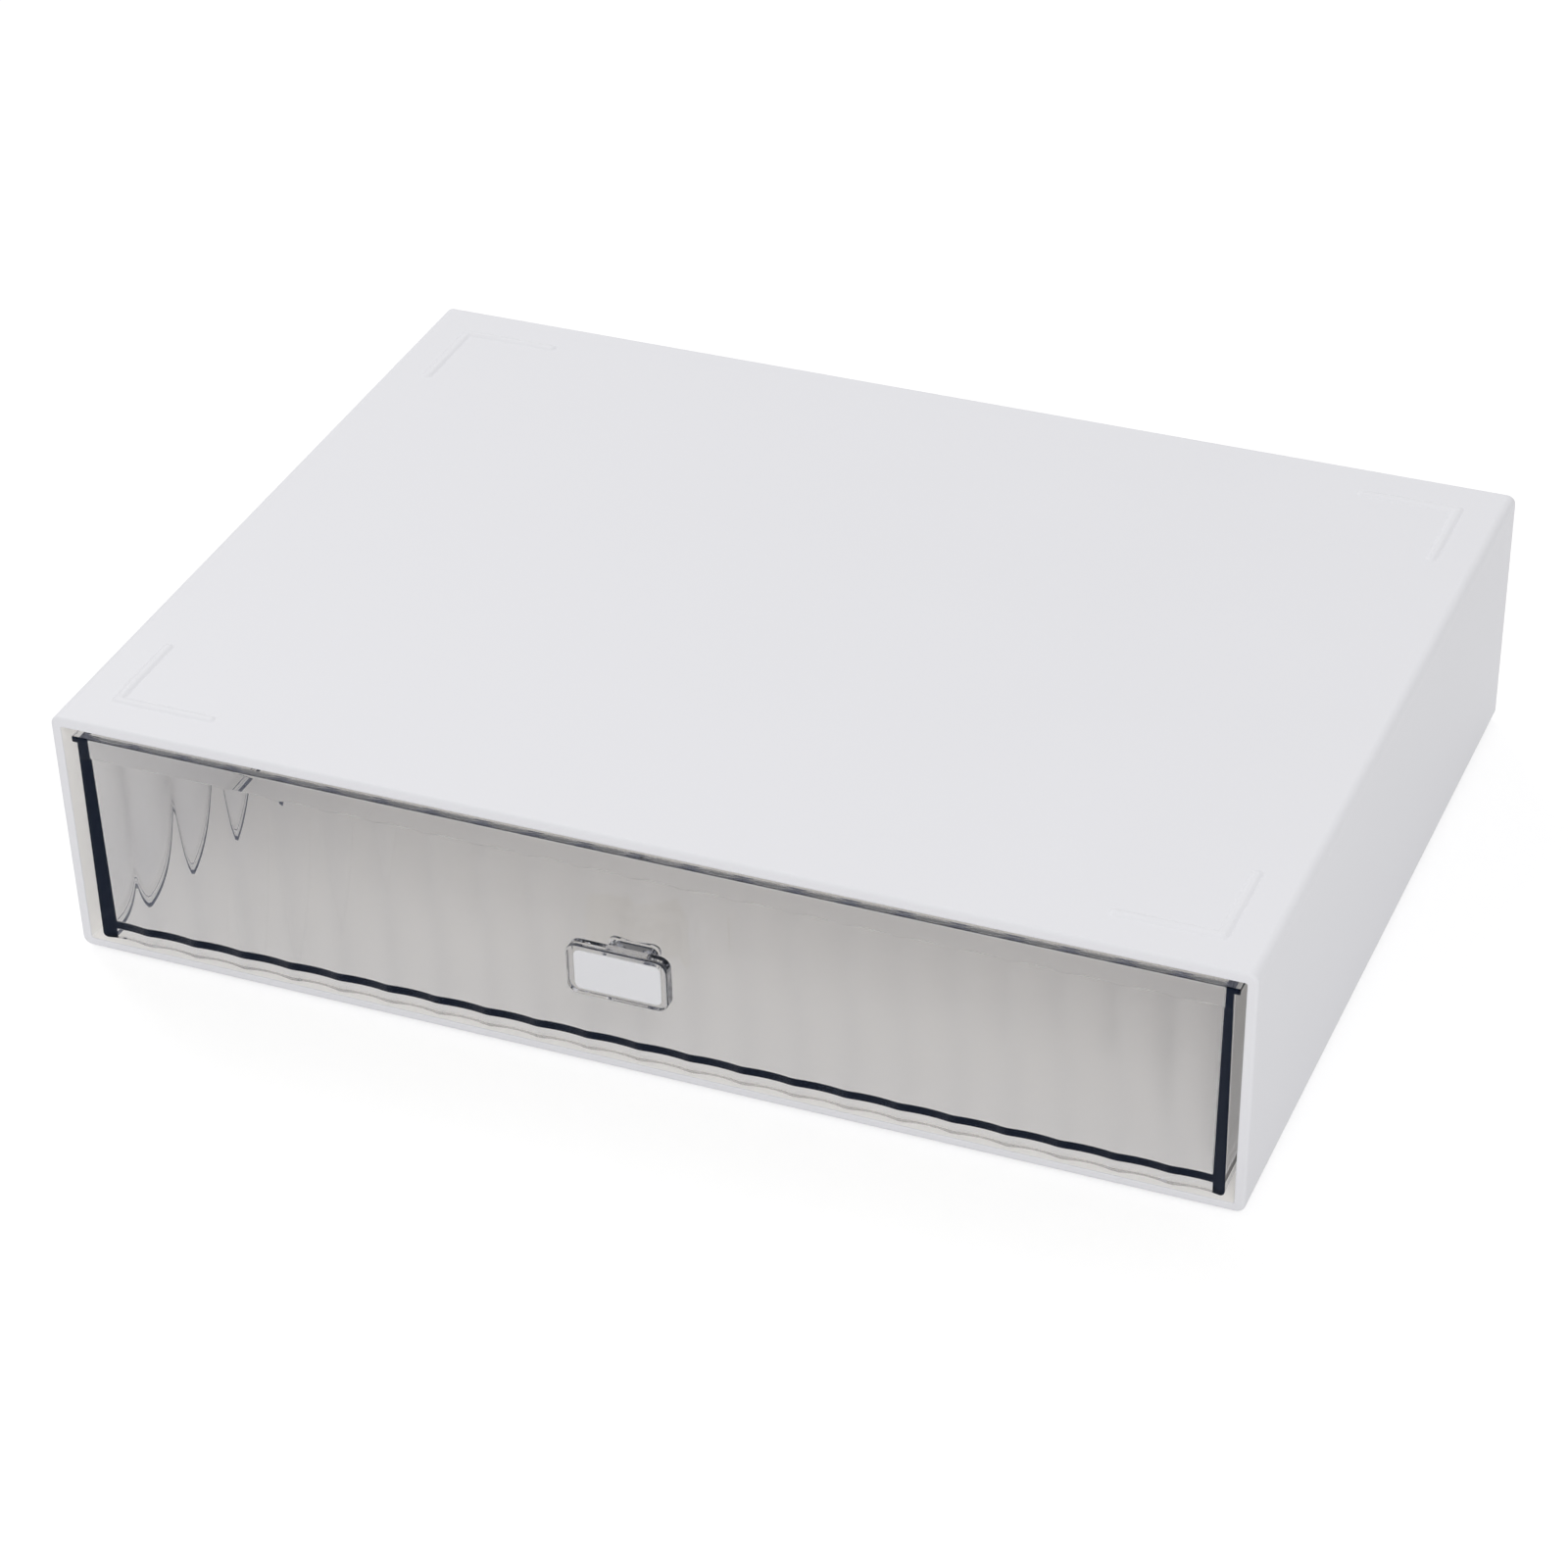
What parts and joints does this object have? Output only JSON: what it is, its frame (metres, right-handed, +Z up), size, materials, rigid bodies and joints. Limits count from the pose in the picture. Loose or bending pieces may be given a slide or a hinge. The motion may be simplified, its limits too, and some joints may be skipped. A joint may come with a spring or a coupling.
{
  "type": "stackable drawer box",
  "caption": "Low desktop drawer box: white sleeve case with corner stacking ridges, full-width clear drawer with a softly fluted front, and a small clear pull that holds a label card.",
  "frame": {"origin": "middle of the case's flat underside", "axes": "+Z up, -Y is the front where the drawer opens, +X to the right seen from the front"},
  "size_m": [0.32, 0.2425, 0.0725],
  "materials": {
    "case_plastic": "fine matte moulded surface",
    "clear_plastic": "clear glossy polystyrene with dark edges",
    "pull_plastic": "clear glossy polystyrene",
    "label_paper": "plain white card",
    "pad_rubber": "pale soft rubber"
  },
  "bodies": {
    "case": {"case": "case_plastic", "foot_pad_front_left": "pad_rubber", "foot_pad_front_right": "pad_rubber", "foot_pad_rear_left": "pad_rubber", "foot_pad_rear_right": "pad_rubber"},
    "drawer": {"drawer": "clear_plastic", "pull": "pull_plastic"},
    "label": {"label_card": "label_paper"}
  },
  "joints": [
    {"name": "drawer_slide", "type": "slide", "parent": "case", "child": "drawer", "axis": [0, -1, 0], "range_m": [0, 0.1805]},
    {"name": "label_slide", "type": "slide", "parent": "drawer", "child": "label", "axis": [0, 0, 1], "range_m": [0, 0.012]}
  ]
}
